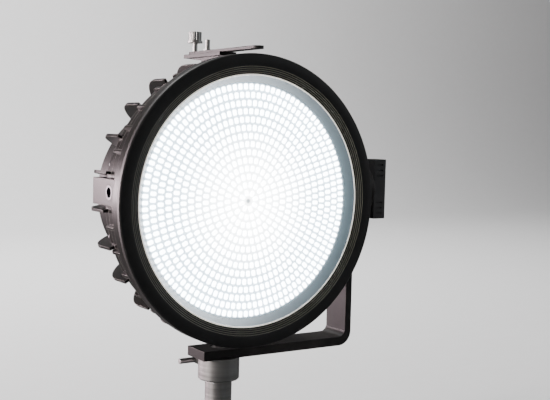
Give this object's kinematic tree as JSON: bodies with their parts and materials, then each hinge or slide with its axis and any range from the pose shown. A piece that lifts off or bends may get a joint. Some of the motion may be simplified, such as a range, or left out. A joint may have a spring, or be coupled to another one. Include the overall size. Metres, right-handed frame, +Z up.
{
  "type": "fresnel spotlight",
  "caption": "Round finned studio spotlight with a stepped fresnel lens and controls on its back drum, tilting on a one-arm yoke above a stand pin.",
  "frame": {"origin": "centre of the stand pin's shoulder, where the collar rests on a stand", "axes": "+Z up along the stand pin, front (the lens) towards -Y, +X to the right seen from the light, the side of the yoke's arm"},
  "size_m": [0.3376, 0.1885, 0.445],
  "materials": {
    "bezel_black": "matt black paint",
    "housing_paint": "satin black paint on a die casting",
    "retainer_grey": "satin blue-grey paint",
    "lens_glass": "clear pressed glass with ring steps",
    "gasket_rubber": "black gasket rubber",
    "screw_black": "black oxide steel",
    "thermal_grey": "grey thermal pad",
    "board_white": "white solder mask on an aluminium core",
    "led_yellow": "phosphor-coated light package",
    "lead_red": "insulated lead",
    "cone_white": "white diffuse paint",
    "drum_paint": "satin black paint",
    "panel_grey": "fine-textured dark grey paint",
    "window_black": "smoked window",
    "circuit_green": "solder mask",
    "parts_amber": "coil tape and capacitor sleeves",
    "standoff_brass": "turned brass",
    "inlet_blue": "blue moulded plastic",
    "socket_black": "black moulded plastic",
    "dial_black": "black moulded plastic",
    "rocker_red": "red moulded plastic",
    "button_grey": "grey silicone rubber",
    "steel": "plain steel",
    "disc_fibre": "brown friction fibre",
    "knob_black": "black moulded grip",
    "yoke_paint": "satin black paint on flat bar"
  },
  "bodies": {
    "yoke": {"yoke_arm": "yoke_paint", "stand_pin": "steel", "pin_screw": "steel"},
    "clamp": {"clamp_screw": "steel"},
    "head": {"bezel_ring": "bezel_black", "bezel_screws": "screw_black", "lens_retainer": "retainer_grey", "front_gasket": "gasket_rubber", "fresnel_lens": "lens_glass", "seat_gasket": "gasket_rubber", "front_ring": "housing_paint", "body_screws": "screw_black", "heat_sink": "housing_paint", "thermal_pad": "thermal_grey", "led_board": "board_white", "led_packages": "led_yellow", "led_leads": "lead_red", "mixing_cone": "cone_white", "rear_drum": "drum_paint", "rear_panel": "panel_grey", "panel_screws": "steel", "display_window": "window_black", "control_board": "circuit_green", "driver_board": "circuit_green", "driver_parts": "parts_amber", "driver_standoffs": "standoff_brass", "power_inlet": "inlet_blue", "data_sockets": "socket_black", "switch_frame": "socket_black", "pivot_inserts": "screw_black", "pivot_hub": "steel", "friction_disc": "disc_fibre", "pivot_stud": "steel", "keeper_bracket": "yoke_paint", "keeper_post": "steel"},
    "knob": {"tilt_knob": "knob_black", "knob_washer": "steel"},
    "keeper": {"keeper_bar": "yoke_paint"},
    "thumb": {"thumb_screw": "steel"},
    "dimmer": {"dimmer_dial": "dial_black"},
    "colour": {"colour_dial": "dial_black"},
    "menu": {"menu_button": "button_grey"},
    "back": {"back_button": "button_grey"},
    "enter": {"enter_button": "button_grey"},
    "rocker": {"power_rocker": "rocker_red"}
  },
  "joints": [
    {"name": "head_tilt", "type": "hinge", "parent": "yoke", "child": "head", "pos_m": [0.1535, -0.028, 0.202], "axis": [-1, 0, 0], "range_deg": [-90, 90]},
    {"name": "tilt_lock", "type": "hinge", "parent": "head", "child": "knob", "pos_m": [0.1636, -0.028, 0.202], "axis": [1, 0, 0], "range_deg": [0, 360]},
    {"name": "stand_clamp", "type": "hinge", "parent": "yoke", "child": "clamp", "pos_m": [0, 0.03, 0.012], "axis": [0, 1, 0], "range_deg": [0, 540]},
    {"name": "keeper_swivel", "type": "hinge", "parent": "head", "child": "keeper", "pos_m": [0, 0.038, 0.345], "axis": [0, 0, 1], "range_deg": [-60, 60]},
    {"name": "keeper_lock", "type": "hinge", "parent": "keeper", "child": "thumb", "pos_m": [0, 0.066, 0.345], "axis": [0, 0, 1], "range_deg": [0, 360]},
    {"name": "dimmer_turn", "type": "hinge", "parent": "head", "child": "dimmer", "pos_m": [-0.04, 0.1035, 0.199], "axis": [0, 1, 0], "continuous": true},
    {"name": "colour_turn", "type": "hinge", "parent": "head", "child": "colour", "pos_m": [0.04, 0.1035, 0.199], "axis": [0, 1, 0], "continuous": true},
    {"name": "menu_press", "type": "slide", "parent": "head", "child": "menu", "axis": [0, -1, 0], "range_m": [0, 0.0015], "stiffness_N_per_m": 400, "springref_m": -0.0005},
    {"name": "back_press", "type": "slide", "parent": "head", "child": "back", "axis": [0, -1, 0], "range_m": [0, 0.0015], "stiffness_N_per_m": 400, "springref_m": -0.0005},
    {"name": "enter_press", "type": "slide", "parent": "head", "child": "enter", "axis": [0, -1, 0], "range_m": [0, 0.0015], "stiffness_N_per_m": 400, "springref_m": -0.0005},
    {"name": "power_rock", "type": "hinge", "parent": "head", "child": "rocker", "pos_m": [0, 0.1035, 0.177], "axis": [-1, 0, 0], "range_deg": [0, 16]}
  ]
}
